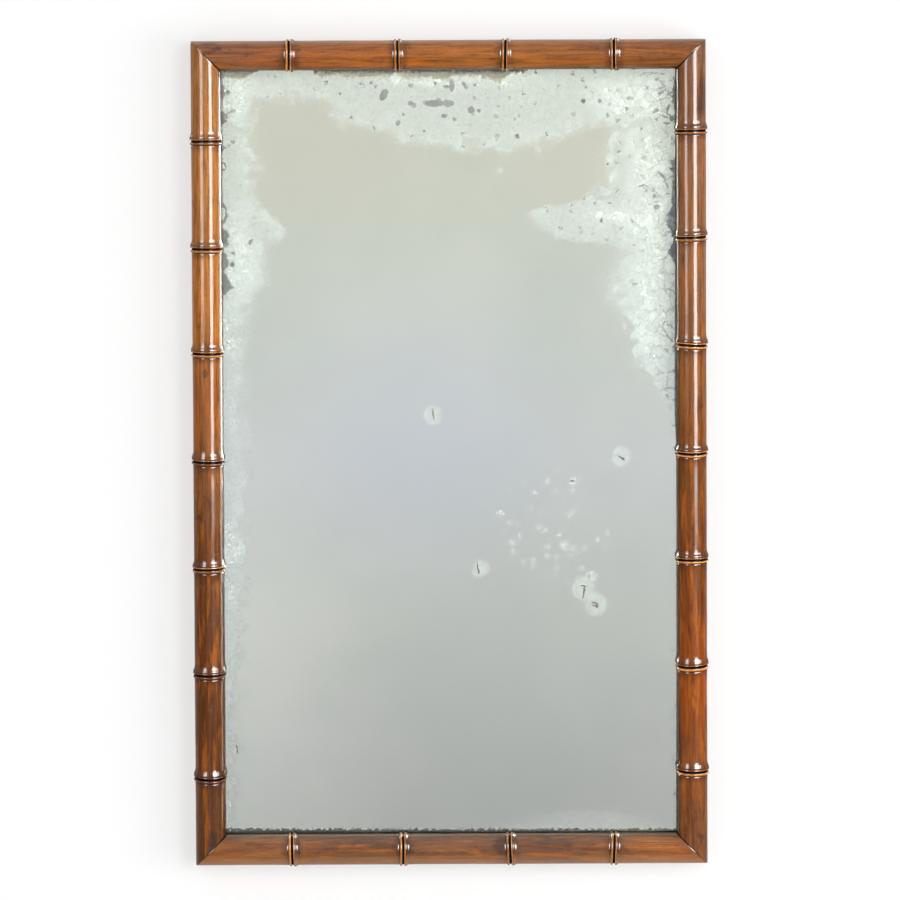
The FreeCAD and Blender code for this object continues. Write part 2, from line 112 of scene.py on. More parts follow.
def smooth(value, low, high):
    """0 below low, 1 above high, and an even curve between them."""
    t = min(1.0, max(0.0, (value - low) / (high - low)))
    return t * t * (3 - 2 * t)


# Shader helpers


class Graph:
    """A node tree, with short calls for the nodes it needs."""

    def __init__(self, tree):
        self.tree = tree

    def node(self, kind, **settings):
        node = self.tree.nodes.new("ShaderNode" + kind)
        for name, value in settings.items():
            setattr(node, name, value)
        return node

    def feed(self, socket, value):
        """Links an output, or writes a plain value."""
        if isinstance(value, bpy.types.NodeSocket):
            self.tree.links.new(value, socket)
        elif isinstance(value, (tuple, list)) and len(value) == 3 and socket.type == "RGBA":
            socket.default_value = (*value, 1)
        else:
            socket.default_value = value

    def fed(self, node, *values):
        """The node, with its first inputs fed."""
        for socket, value in zip(node.inputs, values):
            self.feed(socket, value)
        return node

    def parts(self, vector):
        return self.fed(self.node("SeparateXYZ"), vector).outputs

    def vector(self, x, y, z=0.0):
        return self.fed(self.node("CombineXYZ"), x, y, z).outputs[0]

    def math(self, operation, *values):
        return self.fed(self.node("Math", operation=operation), *values).outputs[0]

    def plus(self, first, second):
        return self.math("ADD", first, second)

    def minus(self, first, second):
        return self.math("SUBTRACT", first, second)

    def fold(self, operation, values):
        """One operation over any number of values."""
        return functools.reduce(functools.partial(self.math, operation), values)

    def times(self, *values):
        return self.fold("MULTIPLY", values)

    def largest(self, *values):
        return self.fold("MAXIMUM", values)

    def inverse(self, value):
        return self.minus(1.0, value)

    def warp(self, operation, *values):
        node = self.fed(self.node("VectorMath", operation=operation), *values)
        return node.outputs["Value" if operation == "LENGTH" else "Vector"]

    def scaled(self, vector, factor):
        node = self.fed(self.node("VectorMath", operation="SCALE"), vector)
        node.inputs["Scale"].default_value = factor
        return node.outputs[0]

    def span(self, value, low, high, bottom=0.0, top=1.0):
        """Smooth step from bottom at low to top at high; low may be the larger."""
        numbers = (high, low, top, bottom) if low > high else (low, high, bottom, top)
        return self.fed(self.node("MapRange", interpolation_type="SMOOTHSTEP"), value, *numbers).outputs[0]

    def spans(self, *steps):
        """Smooth steps, multiplied."""
        return self.times(*(self.span(*step) for step in steps))

    def ramp(self, value, stops):
        """Straight lines between stops of (position, level or colour)."""
        low, high = stops[0][0], stops[-1][0]
        node = self.fed(self.node("ValToRGB"), self.fed(self.node("MapRange"), value, low, high).outputs[0])
        points = node.color_ramp.elements
        for place, level in stops:
            if place in (low, high):
                point = points[0 if place == low else len(points) - 1]
            else:
                point = points.new((place - low) / (high - low))
            point.color = (*level, 1) if isinstance(level, tuple) else (level, level, level, 1)
        return node.outputs["Color"]

    def noise(self, vector, scale, detail, rough, twist=0.0, output="Fac", flat=False):
        node = self.node("TexNoise", noise_dimensions="2D" if flat else "3D")
        self.feed(node.inputs["Vector"], vector)
        for socket, number in (("Scale", scale), ("Detail", detail),
                               ("Roughness", rough), ("Distortion", twist)):
            node.inputs[socket].default_value = number
        return node.outputs[output]

    def mix(self, share, first, second):
        node = self.node("Mix", data_type="RGBA")
        for socket, value in ((0, share), (6, first), (7, second)):
            self.feed(node.inputs[socket], value)
        return node.outputs[2]


class Shader(Graph):
    """A material with one Principled shader, whose colour is laid on in coats."""

    def __init__(self, name, **plain):
        self.material = bpy.data.materials.new(name)
        self.material.use_nodes = True
        super().__init__(self.material.node_tree)
        self.surface = self.tree.nodes["Principled BSDF"]
        self.output = self.tree.nodes["Material Output"]
        self.colour = None
        for socket, value in plain.items():
            self.surface.inputs[socket.replace("_", " ")].default_value = value

    def set(self, socket, value):
        self.feed(self.surface.inputs[socket], value)

    def lay(self, share, colour):
        """Lays a colour over what is there."""
        self.colour = self.mix(share, self.colour, colour)

    def paint(self, share, red, green, blue):
        self.lay(share, linear(red, green, blue))

    def place(self):
        """Where the point is, in metres, in the frame of the whole mirror."""
        return self.node("TexCoord").outputs["Object"]

    def in_photo(self):
        """Where the point is seen in the photograph: right and down, in its pixels."""
        right, depth, up = self.parts(self.place())
        cos = math.cos(PHOTO_LEAN) / MM
        sin = math.sin(PHOTO_LEAN) / MM
        across = self.minus(self.times(right, cos), self.times(up, sin))
        rise = self.plus(self.times(right, sin), self.times(up, cos))
        return self.plus(across, PHOTO_CENTRE_X), self.minus(PHOTO_CENTRE_Y, rise)

    def attribute(self, name, output="Vector"):
        return self.node("Attribute", attribute_name=name).outputs[output]

    def spots(self, place, marks):
        """Nearness to the closest of some listed ovals: below 1 is inside one."""
        x, y, _ = self.parts(place)
        across = self.vector(x, x, x)
        down = self.vector(y, y, y)
        distances = []
        for centre_x, centre_y, wide, high, *turn in marks:
            cos = math.cos(math.radians(sum(turn)))
            sin = math.sin(math.radians(sum(turn)))
            by_x = (cos * 2 / wide, -sin * 2 / high, 0)
            by_y = (sin * 2 / wide, cos * 2 / high, 0)
            shift = tuple(-centre_x * a - centre_y * b for a, b in zip(by_x, by_y))
            at = self.warp("MULTIPLY_ADD", down, by_y, self.warp("MULTIPLY_ADD", across, by_x, shift))
            distances.append(self.warp("LENGTH", at))
        return self.fold("MINIMUM", distances)

    def inside(self, place, marks, *step):
        return self.span(self.spots(place, marks), *step)

    def bump(self, height, distance):
        node = self.node("Bump")
        node.inputs["Distance"].default_value = distance
        self.feed(node.inputs["Height"], height)
        self.set("Normal", node.outputs["Normal"])


# Frame bars


class Bar:
    """One bar: where it starts, which way it runs, its nodes and its stain from start to end."""

    def __init__(self, node, start, along, inward, length, flare, seed, nodes, wear, tones):
        self.node = node
        self.start = start
        self.along = along
        self.inward = inward
        self.length = length
        self.flare = flare
        self.seed = seed
        self.nodes = nodes
        self.wear = wear
        self.tones = tones

    def droop(self, place):
        """How far the front of a ring hangs down: the carver's rings sag more towards the bottom."""
        height = self.start[1] + self.along[1] * place
        return -self.along[1] * RING_DROOP * (0.5 - height / FRAME_HEIGHT)

    def world(self, x, y, z):
        """From the bar's own lengths to the mirror's frame, in metres."""
        right = self.start[0] + self.along[0] * x + self.inward[0] * y
        up = self.start[1] + self.along[1] * x + self.inward[1] * y
        return (right * MM, -(SIDE_DEPTH + z) * MM, up * MM)

    def tone(self, along):
        """The stain at a distance from the bar's start."""
        for (x0, c0), (x1, c1) in zip(self.tones, self.tones[1:]):
            if along <= x1:
                t = smooth(along, x0, x1)
                return linear(*(a + (b - a) * t for a, b in zip(c0, c1)))
        return linear(*self.tones[-1][1])


# Nodes and stain go by distance along the bar, and on the left stile the stain carries painted shade too;
# wear is how bare the ridge and the bead's rim are
BARS = (
    Bar("rail_bottom", (-HALF_WIDTH, -HALF_HEIGHT), (1, 0), (0, 1), FRAME_WIDTH, 1, 3,
        nodes=(96.7, 207.7, 314.7, 418.7),
        wear=((0.95, 0.9), (0.5, 1.0), (0.3, 0.9), (0.5, 0.9)),
        tones=((0, (138, 82, 38)), (60, (158, 98, 50)), (110, (138, 86, 50)), (150, (118, 78, 50)),
               (258, (138, 90, 58)), (320, (124, 82, 56)), (368, (108, 74, 54)), (410, (138, 88, 50)),
               (458, (176, 108, 50)), (512, (150, 84, 38)))),
    Bar("stile_right", (HALF_WIDTH, -HALF_HEIGHT), (0, 1), (-1, 0), FRAME_HEIGHT, 1, 5,
        nodes=(94.2, 199.2, 306.2, 412.2, 520.2, 627.2, 733.2),
        wear=((0.8, 0.4), (1.0, 0.3), (0.9, 0.4), (0.95, 1.0), (0.8, 1.0), (0.4, 0.7), (0.25, 0.45)),
        tones=((0, (126, 78, 44)), (90, (136, 76, 34)), (180, (162, 78, 12)), (280, (132, 68, 18)),
               (400, (130, 74, 28)), (490, (152, 94, 46)), (600, (156, 104, 66)), (700, (156, 104, 70)),
               (824, (130, 90, 64)))),
    Bar("rail_top", (HALF_WIDTH, HALF_HEIGHT), (-1, 0), (0, -1), FRAME_WIDTH, -1, 8,
        nodes=(91.5, 199.5, 306.5, 414.5),
        wear=((0.5, 0.9), (0.5, 0.8), (0.5, 0.7), (0.8, 0.9)),
        tones=((0, (132, 80, 42)), (80, (160, 96, 46)), (200, (176, 106, 44)), (340, (180, 106, 46)),
               (420, (160, 94, 54)), (512, (144, 94, 62)))),
    # The left stile darkens towards the bottom, partly in its stain and partly as painted shade.
    Bar("stile_left", (-HALF_WIDTH, HALF_HEIGHT), (0, -1), (1, 0), FRAME_HEIGHT, -1, 12,
        nodes=(99.5, 206.5, 310.5, 418.5, 525.5, 631.5, 735.5),
        wear=((0.12, 0.4), (0.5, 0.35), (0.6, 0.5), (0.1, 0.3), (0.3, 0.8), (0.05, 0.1), (0.05, 0.1)),
        tones=((0, (182, 122, 64)), (140, (196, 130, 66)), (270, (200, 126, 54)), (360, (168, 98, 42)),
               (430, (146, 90, 46)), (470, (134, 82, 42)), (530, (108, 60, 22)), (680, (104, 56, 18)),
               (824, (100, 62, 34)))),
)


class Column:
    """One line of points running the length of a bar: its place in the section, and which way is out.

    Swell and wave are its shares in the nodes' rise and in the unevenness; kerf is its side of a key.
    """

    def __init__(self, y, z, out_y, out_z, swell=1.0, wave=1.0, kerf=0):
        self.y = y
        self.z = z
        self.out_y = out_y
        self.out_z = out_z
        self.swell = swell
        self.wave = wave
        self.kerf = kerf
        self.girth = 0.0


def section():
    """The outline of a bar, from the back's outer corner round the front to the rebates."""
    outer = ((0.5, -SIDE_DEPTH, 0, 0), (0, -SIDE_DEPTH + 0.5, 0, 0), (0, -16, 0.3, 0), (0, -11, 0.5, 0),
             (0, -KEY_BACK, 0.3, 0), (0, -KEY_BACK + 0.5, 0.3, -1), (0, -KEY_FRONT - 0.5, 0.3, 1),
             (0, -KEY_FRONT, 0.3, 0), (0, -2, 1, 0))
    columns = [Column(y, z, -1, 0, 1, wave, kerf) for y, z, wave, kerf in outer]
    for step in range(ARC_STEPS + 1):
        turn = math.pi * step / ARC_STEPS
        out_y = -math.cos(turn)
        out_z = math.sin(turn)
        columns.append(Column(CANE_RADIUS + CANE_RADIUS * out_y, CANE_RADIUS * out_z, out_y, out_z))
    lip = -LIP_DEPTH + 0.05
    inner = ((0, -2, 1), (0, -5, 0.7), (0, -8, 0.4), (0, lip + 0.7, 0.3), (0.2, lip + 0.2, 0.3),
             (0.7, lip, 0.3))
    columns += [Column(CANE_WIDTH - y, z, 1, 0, 1, wave) for y, z, wave in inner]
    board = -SIDE_DEPTH + BOARD_DEPTH
    rebates = ((GLASS_REBATE_EDGE, lip), (GLASS_REBATE_EDGE, board),
               (BOARD_REBATE_EDGE, board), (BOARD_REBATE_EDGE, -SIDE_DEPTH))
    columns += [Column(y, z, 0, -1, 0, 0) for y, z in rebates]
    for before, column in zip(columns, columns[1:]):
        column.girth = before.girth + math.hypot(column.y - before.y, column.z - before.z)
    return columns


class Node:
    """One carved node, with the small differences of hand work."""

    def __init__(self, bar, place, wear, dice):
        self.place = place
        self.wear = wear
        self.droop = bar.droop(place)
        self.groove = GROOVE_HALF * dice.uniform(0.9, 1.1)
        self.bead_stretch = dice.uniform(0.88, 1.1) * (1.0 if bar.along[1] else RAIL_BEAD)
        self.ridge_stretch = dice.uniform(0.85, 1.1)
        self.bead_top = NODE_TOP * dice.uniform(0.88, 1.0)
        self.ridge_top = RIDGE_TOP * dice.uniform(0.85, 1.1)
        self.tilt = dice.uniform(-0.45, 0.45)
        self.wobble = dice.uniform(0.08, 0.25)
        self.phase = dice.uniform(0, math.tau)
        self.curve = self.points()

    def points(self):
        """(distance towards the bead's side, rise) pairs over the whole node."""
        g = self.groove
        points = [(-NODE_REACH, 0.0)]
        points += [(-g - s * self.ridge_stretch, h * self.ridge_top) for s, h in reversed(RIDGE)]
        points += [(-g + 0.1, GROOVE_FLOOR), (-g * 0.4, GROOVE_FLOOR - 0.08),
                   (g * 0.4, GROOVE_FLOOR - 0.08), (g - 0.1, GROOVE_FLOOR)]
        points += [(g + s * self.bead_stretch, h * self.bead_top) for s, h in BEAD]
        points.append((NODE_REACH, 0.0))
        return points

    def rise(self, distance):
        """Height over the plain cane at a distance from the node's middle."""
        for (x0, h0), (x1, h1) in zip(self.curve, self.curve[1:]):
            if x0 <= distance <= x1:
                return h0 + (h1 - h0) * (distance - x0) / (x1 - x0)
        return 0.0


class Station:
    """One ring of points across a bar: at a place, or turned out of the mitre of an end by a share."""

    def __init__(self, place, end=0, gap=0.0, share=0.0, node=None, distance=0.0):
        self.place = place
        self.end = end
        self.gap = gap
        self.share = share
        self.node = node
        self.distance = distance


def plain_stations(first, last):
    """Rings of points along a plain stretch between two places."""
    steps = max(1, round((last - first) / FILL_STEP))
    return [Station(first + (last - first) * n / steps) for n in range(1, steps)]


def stations(bar, nodes):
    """Every ring of points of a bar, from one mitre to the other."""
    rings = [Station(0, 1, gap) for gap in MITRE_GAPS]
    rings += [Station(0, 1, MITRE_GAPS[-1], share) for share in MITRE_SHARES]
    place = MITRE_REACH
    for node in nodes:
        curve = node.curve if bar.flare > 0 else [(-x, h) for x, h in reversed(node.curve)]
        rings += plain_stations(place, node.place + curve[0][0])
        rings += [Station(node.place + x, node=node, distance=x * bar.flare) for x, h in curve]
        place = node.place + curve[-1][0]
    rings += plain_stations(place, bar.length - MITRE_REACH)
    rings += [Station(0, -1, MITRE_GAPS[-1], share) for share in reversed(MITRE_SHARES)]
    rings += [Station(0, -1, gap) for gap in reversed(MITRE_GAPS)]
    return rings


def unevenness(bar, x, girth):
    """Slow waves of a hand-shaped bar, none at the mitres."""
    fade = smooth(x, UNEVEN_FROM, UNEVEN_TO) * smooth(bar.length - x, UNEVEN_FROM, UNEVEN_TO)
    s = bar.seed
    wave = math.sin(x / 31 + s) + 0.7 * math.sin(x / 17.3 + girth / 9 + s * 2)
    wave += 0.6 * math.sin(x / 53 - girth / 14 + s * 3) + 0.35 * math.sin(x / 8.1 + girth / 5 + s)
    return UNEVEN_HEIGHT * wave * fade


def swell_at(bar, ring, column, falloff):
    """How far a point stands out from the plain section."""
    rise = ring.node.rise(ring.distance) if ring.node else 0.0
    wave = unevenness(bar, ring.place, column.girth) * column.wave
    swell = rise * column.swell + wave * (1 - 0.8 * falloff)
    if ring.end and not ring.share:
        swell -= MITRE_EASE * (1 - smooth(ring.gap, 0.0, 0.9)) * column.swell
    return swell


def lean_at(node, y, column):
    """How far a node leans along the bar at a point of its ring."""
    lean = node.tilt * ((y - CANE_RADIUS) / CANE_RADIUS)
    lean += node.wobble * math.sin(column.girth / 7.0 + node.phase)
    return lean + node.droop * max(0.0, column.out_z)


def bar_point(bar, ring, column):
    """Place of one point of a bar, and how far it is from the closest mitre."""
    falloff = 1 - smooth(abs(ring.distance), 5, NODE_REACH - 1) if ring.node else 0.0
    swell = swell_at(bar, ring, column, falloff)
    x = ring.place
    y = column.y + column.out_y * swell
    z = column.z + column.out_z * swell
    if ring.node:
        x += lean_at(ring.node, y, column) * falloff
    if not ring.end:
        return x, y, z, min(x - y, bar.length - x - y)
    reach = MITRE_REACH - ring.gap - y
    x = y + ring.gap + reach * ring.share
    edge = ring.gap + (reach + y) * ring.share
    if column.kerf and edge < KEY_LEG + 0.01:
        z = -KEY_BACK if column.kerf < 0 else -KEY_FRONT
        if edge < KEY_LEG:
            x = (KEY_LEG + edge) / 2
            y = (KEY_LEG - edge) / 2
    return bar.length - x if ring.end < 0 else x, y, z, x - y


def ring_fact(nodes, ring, along):
    """Distance to the closest node, on which side of it, and how bare the wood is worn there."""
    nearest = min(nodes, key=lambda node: abs(node.place - along))
    if not ring.node:
        return abs(nearest.place - along), 0.0, nearest.wear[1]
    side = math.copysign(1, ring.distance)
    return abs(ring.distance), side, nearest.wear[0 if side < 0 else 1]


def tube_faces(rings, count):
    """Faces between rings of points, and one at each end."""
    faces = []
    for r in range(rings - 1):
        for c in range(count):
            d = (c + 1) % count
            faces.append((r * count + c, r * count + d, (r + 1) * count + d, (r + 1) * count + c))
    faces.append(tuple(range(count)))
    faces.append(tuple(range((rings - 1) * count, rings * count)))
    return faces


def add_object(name, points, faces, material):
    """A mesh from points in metres."""
    mesh = bpy.data.meshes.new(name)
    mesh.from_pydata(points, [], faces)
    mesh.materials.append(material)
    thing = bpy.data.objects.new(name, mesh)
    bpy.context.scene.collection.objects.link(thing)
    return thing


def new_piece(name, points, faces, body, material):
    """A piece that rides on a body."""
    piece = add_object(name, points, faces, material)
    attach(piece, body)
    return piece


def finish_mesh(mesh, angle):
    """Outward faces, no doubled points, and smooth shading up to an angle."""
    work = bmesh.new()
    work.from_mesh(mesh)
    bmesh.ops.remove_doubles(work, verts=work.verts, dist=2e-6)
    bmesh.ops.recalc_face_normals(work, faces=work.faces)
    work.to_mesh(mesh)
    work.free()
    for polygon in mesh.polygons:
        polygon.use_smooth = True
    mesh.set_sharp_from_angle(angle=math.radians(angle))


def build_bar(bar, number, material):
    """A mitred bar with its nodes, as one closed mesh that tells its material where each point is."""
    dice = random.Random(bar.seed)
    nodes = [Node(bar, place, wear, dice) for place, wear in zip(bar.nodes, bar.wear)]
    columns = section()
    points = []
    facts = {"cane": [], "ring": [], "seam": [], "tone": []}
    rings = stations(bar, nodes)
    for ring in rings:
        for column in columns:
            along, y, z, from_mitre = bar_point(bar, ring, column)
            points.append(bar.world(along, y, z))
            facts["cane"].append((along, column.girth, number * 500.0))
            facts["ring"].append(ring_fact(nodes, ring, along))
            facts["seam"].append((max(0.0, from_mitre), y / CANE_WIDTH, z))
            facts["tone"].append((*bar.tone(along), 1.0))
    faces = tube_faces(len(rings), len(columns))
    piece = new_piece(bar.node + "_cane", points, faces, "frame", material)
    for name, values in facts.items():
        kind, key = ("FLOAT_COLOR", "color") if name == "tone" else ("FLOAT_VECTOR", "vector")
        attribute = piece.data.attributes.new(name, kind, "POINT")
        attribute.data.foreach_set(key, [part for value in values for part in value])
    finish_mesh(piece.data, 42)
    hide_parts(bar.node)
    return piece


def cracks(thick, lines):
    """Thin ovals along some bent lines."""
    marks = []
    for line in lines:
        for (x0, y0), (x1, y1) in zip(line, line[1:]):
            long = math.hypot(x1 - x0, y1 - y0) * 1.12 + thick
            turn = math.degrees(math.atan2(y1 - y0, x1 - x0))
            marks.append(((x0 + x1) / 2, (y0 + y1) / 2, long, thick, turn))
    return marks


# Dark stains of the wood: right, down, width and height in the photograph
STAINS = (
    (211, 44.6, 17, 3.6), (216.6, 49.8, 13, 4), (231, 49.6, 3, 2), (300, 50.6, 4.4, 4.4),
    (501, 843, 16, 20), (405, 846, 10, 22), (298, 845, 5, 24), (212, 838, 9, 22), (206, 372, 7, 9),
    (700, 95, 12, 50),
)


def grain(s, run, across, detail, rough, twist=0):
    """Noise stretched along the bar."""
    place = s.vector(s.times(s.along, run), s.times(s.girth, across), s.number)
    return s.noise(place, 1, detail, rough, twist)


def stain_wood(s):
    """Streaks, clouds and specks of the stain, dark stains, darker places near the nodes, and painted shade
    on the inner flank.
    """
    streak = grain(s, 0.014, 0.3, 3, 0.55, 0.6)
    glow = grain(s, 0.02, 0.16, 3, 0.6, 0.5)
    blot = grain(s, 0.08, 0.12, 4, 0.6, 0.4)
    cross = grain(s, 0.9, 0.12, 3, 0.6)
    speck = grain(s, 0.55, 1.2, 2, 0.6)
    s.paint(s.span(streak, 0.38, 0.66, 0, 0.5), 70, 30, 10)
    s.paint(s.span(glow, 0.48, 0.7, 0, 0.5), 206, 112, 22)
    s.paint(s.span(s.cloud, 0.44, 0.26, 0, 0.55), 50, 28, 18)
    s.paint(s.span(blot, 0.54, 0.7, 0, 0.2), 142, 102, 66)
    s.paint(s.span(s.fibre, 0.42, 0.68, 0, 0.4), 54, 26, 8)
    s.paint(s.span(cross, 0.55, 0.72, 0, 0.26), 58, 30, 16)
    s.paint(s.span(speck, 0.57, 0.72, 0, 0.55), 38, 20, 9)
    moved = s.warp("ADD", s.vector(s.x, s.y), s.scaled(s.vector(s.cloud, blot), 9))
    spot = s.inside(s.warp("SUBTRACT", moved, (4.5, 4.5, 0)), STAINS, 1.3, 0.5)
    s.paint(s.times(spot, 0.6), 46, 34, 30)
    # Darker near the nodes.
    by_node = s.plus(s.distance, s.times(s.minus(s.cloud, 0.5), 16))
    s.paint(s.span(by_node, 13, 4, 0, 0.5), 56, 27, 12)
    # Painted shade on the inner flank, where the bar turns down to the glass.
    inner_flank_shade = s.spans((s.inward, 0.82, 0.98), (s.depth, 12, 6))
    s.paint(s.times(inner_flank_shade, 0.65), 50, 28, 14)


def band(s, side, *steps):
    """A band along one side of a groove: where it begins and ends, by distance from the node's middle."""
    return s.times(side, s.span(s.distance, *steps[:2]), s.span(s.distance, *steps[2:]))


def wear_nodes(s):
    """Bare wood on the ridge and the bead's rim, painted shade in the creases beside them, and the black
    groove.
    """
    worn = s.span(grain(s, 0.3, 0.3, 3, 0.6), 0.35, 0.65)
    gold = s.mix(worn, linear(206, 112, 30), linear(236, 156, 62))
    pale = s.mix(worn, linear(190, 138, 84), linear(222, 178, 122))
    bright = s.math("MULTIPLY_ADD", s.wear, 0.6, 0.06)
    ridge = band(s, s.ridge_side, 1.2, 1.35, 3.6, 3.2)
    s.paint(s.times(ridge, 0.45), 84, 44, 18)
    s.lay(s.times(ridge, s.wear), gold)
    s.lay(s.times(band(s, s.ridge_side, 1.2, 1.35, 2.1, 1.8), bright), pale)
    s.lay(s.times(band(s, s.bead_side, 1.2, 1.35, 2.4, 2.1), s.wear, 0.9), gold)
    s.lay(s.times(band(s, s.bead_side, 1.2, 1.3, 1.8, 1.6), bright), pale)
    # Painted shade in the nick beyond the ridge and in the crease of the bead.
    nick = band(s, s.ridge_side, 3.35, 3.6, 5, 4.1)
    crease = band(s, s.bead_side, 2.1, 2.35, 3, 2.55)
    s.paint(s.times(s.largest(nick, crease), 0.7), 34, 18, 10)
    s.paint(s.groove, 16, 17, 20)


def shade_rails(s):
    """Dust and a painted sheen at the inner edge, a painted reflection on the top rail's upper side,
    painted light below and painted shade above on the bottom rail, and the mitre's seam.
    """
    # Dust, with a painted sheen, on the inner flank by the glass.
    s.paint(s.times(s.dust, 0.7), 112, 102, 88)
    free = s.times(s.inverse(s.groove), s.span(s.depth, -14, -8))
    # Painted reflection of the ceiling on the upper side of the top rail.
    top = s.times(s.spans((s.number, 700, 800), (s.number, 1300, 1200)), free)
    s.paint(s.times(top, s.span(s.inward, 0.16, 0.02), 0.45), 186, 166, 148)
    # Painted light on the lower half of the bottom rail, and painted shade on its upper half by the glass.
    bottom = s.times(s.span(s.number, 300, 200), free)
    s.paint(s.times(bottom, s.span(s.inward, 0.5, 0.08), 0.5), 186, 138, 104)
    s.paint(s.times(bottom, s.span(s.inward, 0.4, 0.95), 0.28), 80, 68, 56)
    s.paint(s.spans((s.edge, 1.5, 0.5), (s.inward, 0.05, 0.6, 0.25, 1)), 24, 13, 8)


def uncover_back(s):
    """Thin stain on the sides, and sawn wood with none on the back."""
    s.paint(s.span(s.depth, -13, -21, 0, 0.6), 58, 38, 24)
    raw = s.mix(s.span(s.fibre, 0.4, 0.66), linear(158, 118, 76), linear(104, 72, 42))
    raw = s.mix(s.span(s.cloud, 0.5, 0.28), raw, linear(84, 58, 38))
    s.lay(s.bare, s.mix(s.span(s.saw, 0.5, 0.7, 0, 0.4), raw, linear(92, 66, 42)))


def varnish(s):
    """Polish that is thin in the grooves, on the sides and where hands rubbed, over fine grain."""
    dull = s.largest(s.span(s.fibre, 0.3, 0.7, 0.4, 0.55), s.times(s.groove, 0.7), s.times(s.bare, 0.85))
    s.set("Roughness", dull)
    flank = s.span(s.depth, 0.5, -3, 0, 0.98)
    rubbed = s.spans((s.number, 1250, 1350), (s.y, 560, 720), (s.inward, 0.9, 0.96))
    thin = s.largest(s.times(s.groove, 0.9), s.times(s.dust, 0.9), s.times(rubbed, 0.85))
    s.set("Coat Weight", s.times(s.inverse(thin), s.inverse(flank), 0.84))
    skin = grain(s, 0.25, 0.35, 3, 0.6)
    height = s.plus(s.times(s.fibre, 0.35), s.times(skin, 0.65))
    s.bump(s.plus(height, s.times(s.saw, s.bare, 1.2)), 0.00012)


def varnished_wood():
    """Stained and polished wood. It knows the bars by number: 500 for each, anticlockwise from below."""
    s = Shader("varnished_wood", Coat_Roughness=0.14, Coat_IOR=1.5, Specular_IOR_Level=0.0)
    s.along, s.girth, s.number = s.parts(s.attribute("cane"))
    s.distance, side, s.wear = s.parts(s.attribute("ring"))
    s.edge, s.inward, s.depth = s.parts(s.attribute("seam"))
    s.colour = s.attribute("tone", "Color")
    s.x, s.y = s.in_photo()
    s.fibre = grain(s, 0.05, 1, 4, 0.65)
    s.cloud = grain(s, 0.035, 0.07, 4, 0.65, 0.8)
    s.saw = grain(s, 0.9, 0.1, 2, 0.5)
    s.bead_side = s.span(side, -0.2, 0.2)
    s.ridge_side = s.span(side, 0.2, -0.2)
    s.groove = s.span(s.distance, 1.35, 1.1)
    s.dust = s.spans((s.number, 1300, 1200), (s.inward, 0.93, 0.985), (s.depth, 6, 1))
    s.bare = s.span(s.depth, -20.7, -21.15)
    stain_wood(s)
    wear_nodes(s)
    shade_rails(s)
    uncover_back(s)
    s.set("Base Color", s.colour)
    varnish(s)
    return s.material


def clear_glass():
    """Old plate glass: clear to lamps, with a faint green cast."""
    s = Shader("plate_glass", Transmission_Weight=1.0, Roughness=0.0, IOR=1.5)
    s.set("Base Color", (0.975, 0.99, 0.975))
    shadow = s.node("LightPath").outputs["Is Shadow Ray"]
    clear = s.node("BsdfTransparent").outputs[0]
    both = s.fed(s.node("MixShader"), shadow, s.surface.outputs[0], clear)
    s.feed(s.output.inputs["Surface"], both.outputs[0])
    return s.material


# Marks in the silvering: right, down, width, height and turn in degrees, in the photograph
TOP_MARKS = (
    (384, 94.5, 6, 11, 28), (410.5, 85.5, 5, 3.4), (411, 103.5, 6, 4), (434, 103, 19, 6),
    (448, 103.2, 10, 6), (398, 123, 4, 4.6), (403, 114.3, 3, 3), (443.6, 116, 4.4, 4),
    (454, 119.2, 3.4, 3.4), (470.6, 109.6, 6, 6), (478.5, 110.7, 3.4, 3.4), (446, 86.6, 6, 3),
    (451.4, 85.5, 4.4, 11), (464, 84.8, 8, 3, 58), (371, 83, 3, 3), (497, 136, 4, 4),
    (514.5, 118.8, 3, 3), (517, 135.8, 4.4, 4.6), (582.8, 101, 3.8, 4.2), (599, 101, 3.6, 3.8),
    (628.4, 98, 3.6, 3), (625.8, 108.4, 3.2, 3),
)
SIDE_MARKS = (
    (228.3, 92.4, 3.4, 4.2), (233.4, 141.6, 3, 3.2), (250.2, 241.5, 3, 6, 38), (233.9, 252.8, 3, 3),
    (232, 264, 3.6, 4.6), (600.8, 220.2, 2.4, 4), (656, 206.5, 5, 4), (653.6, 196, 4, 3),
    (634.5, 283.4, 5, 2.4), (671, 118.4, 3, 5), (665.6, 123.2, 6, 2.4), (655, 110.6, 6, 3, -15),
)
# Dark lines in the silvering: cracks, and at the top right painted shade in crinkles of the silver.
MARK_LINES = (
    ((225.4, 116), (229.4, 112.4), (235.4, 110.2)), ((638, 75), (647, 72.8), (662, 74)),
    ((657, 88.6), (664, 86.4)), ((658, 94.6), (663, 91)), ((667.8, 105), (666, 115)),
    ((659, 114.6), (667, 117.6)), ((658.7, 171.5), (665, 180.4), (667, 187)),
    ((638.4, 186), (644, 184), (649.5, 189)),
)
MARK_RINGS = ((222.6, 166.5, 7, 8), (222.4, 213, 9, 19), (225, 236, 7, 11))
CRACK_LINES = (
    ((668, 212), (663.8, 220), (659, 227)), ((660, 265.5), (665, 269.6), (664, 287)),
    ((655, 256), (661, 255)), ((664, 288), (670, 298)), ((670.7, 306), (663.6, 316.5)),
    ((658, 322.6), (673, 342)),
)
BLOOMS = (
    (433, 414.6, 19, 20), (480, 569.4, 17, 17), (583.4, 588.6, 24, 25), (595.6, 604.6, 23, 26),
    (620.7, 456, 19, 21), (572.5, 480.8, 9, 9), (500.8, 513, 8, 7), (592, 576, 14, 12),
)
FAINT_BLOOMS = ((539, 527.8, 9, 9), (564, 544.6, 12, 14), (500, 170, 8, 8), (513, 543.6, 8, 8))
